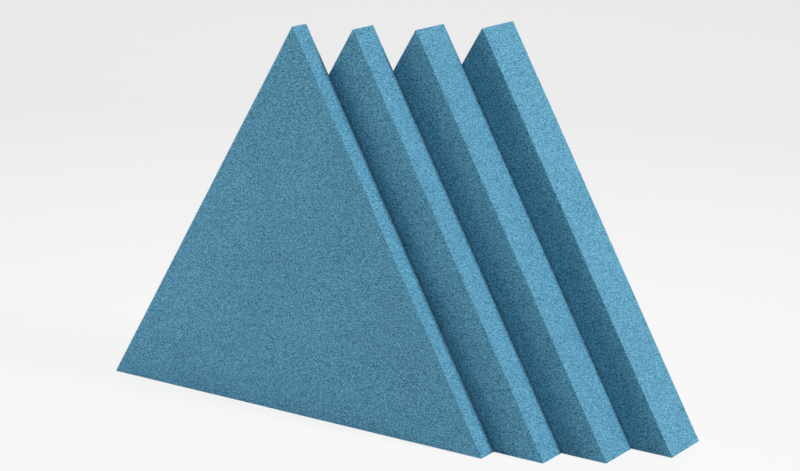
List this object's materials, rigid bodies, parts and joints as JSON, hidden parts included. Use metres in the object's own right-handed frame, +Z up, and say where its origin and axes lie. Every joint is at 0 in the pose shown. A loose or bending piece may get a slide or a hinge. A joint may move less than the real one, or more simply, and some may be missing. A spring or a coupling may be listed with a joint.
{
  "type": "acoustic panel",
  "caption": "Equal triangular cloth-covered sound absorbers of graded depth, standing face to back in a fanned row; each has a wooden frame, a fibre wool core and corner magnets behind.",
  "frame": {"origin": "On the surface that the set stands on, under the middle of the whole set's box", "axes": "+X along the panels' bases, towards the side that each panel behind is moved to; +Y from the front faces to the backs; +Z up"},
  "size_m": [0.762, 0.216, 0.4988],
  "materials": {
    "cover_cloth": "matte",
    "core_wool": "matte",
    "back_cloth": "matte",
    "rail_wood": "matte",
    "block_wood": "matte",
    "magnet_steel": "satin",
    "screw_steel": "satin"
  },
  "bodies": {
    "panel_1": {"panel_1_cover": "cover_cloth", "panel_1_core": "core_wool", "panel_1_back_cloth": "back_cloth", "panel_1_rail_base": "rail_wood", "panel_1_rail_left": "rail_wood", "panel_1_rail_right": "rail_wood", "panel_1_block_left": "block_wood", "panel_1_block_right": "block_wood", "panel_1_block_top": "block_wood", "panel_1_magnet_left": "magnet_steel", "panel_1_magnet_right": "magnet_steel", "panel_1_magnet_top": "magnet_steel", "panel_1_screw_left": "screw_steel", "panel_1_screw_right": "screw_steel", "panel_1_screw_top": "screw_steel"},
    "panel_2": {"panel_2_cover": "cover_cloth", "panel_2_core": "core_wool", "panel_2_back_cloth": "back_cloth", "panel_2_rail_base": "rail_wood", "panel_2_rail_left": "rail_wood", "panel_2_rail_right": "rail_wood", "panel_2_block_left": "block_wood", "panel_2_block_right": "block_wood", "panel_2_block_top": "block_wood", "panel_2_magnet_left": "magnet_steel", "panel_2_magnet_right": "magnet_steel", "panel_2_magnet_top": "magnet_steel", "panel_2_screw_left": "screw_steel", "panel_2_screw_right": "screw_steel", "panel_2_screw_top": "screw_steel"},
    "panel_3": {"panel_3_cover": "cover_cloth", "panel_3_core": "core_wool", "panel_3_back_cloth": "back_cloth", "panel_3_rail_base": "rail_wood", "panel_3_rail_left": "rail_wood", "panel_3_rail_right": "rail_wood", "panel_3_block_left": "block_wood", "panel_3_block_right": "block_wood", "panel_3_block_top": "block_wood", "panel_3_magnet_left": "magnet_steel", "panel_3_magnet_right": "magnet_steel", "panel_3_magnet_top": "magnet_steel", "panel_3_screw_left": "screw_steel", "panel_3_screw_right": "screw_steel", "panel_3_screw_top": "screw_steel"},
    "panel_4": {"panel_4_cover": "cover_cloth", "panel_4_core": "core_wool", "panel_4_back_cloth": "back_cloth", "panel_4_rail_base": "rail_wood", "panel_4_rail_left": "rail_wood", "panel_4_rail_right": "rail_wood", "panel_4_block_left": "block_wood", "panel_4_block_right": "block_wood", "panel_4_block_top": "block_wood", "panel_4_magnet_left": "magnet_steel", "panel_4_magnet_right": "magnet_steel", "panel_4_magnet_top": "magnet_steel", "panel_4_screw_left": "screw_steel", "panel_4_screw_right": "screw_steel", "panel_4_screw_top": "screw_steel"}
  },
  "joints": [
    {"name": "panel_2_slide", "type": "slide", "parent": "panel_1", "child": "panel_2", "axis": [1, 0, 0], "range_m": [-0.069, 0.7]},
    {"name": "panel_3_slide", "type": "slide", "parent": "panel_1", "child": "panel_3", "axis": [1, 0, 0], "range_m": [-0.131, 0.64]},
    {"name": "panel_4_slide", "type": "slide", "parent": "panel_1", "child": "panel_4", "axis": [1, 0, 0], "range_m": [-0.1865, 0.585]}
  ]
}
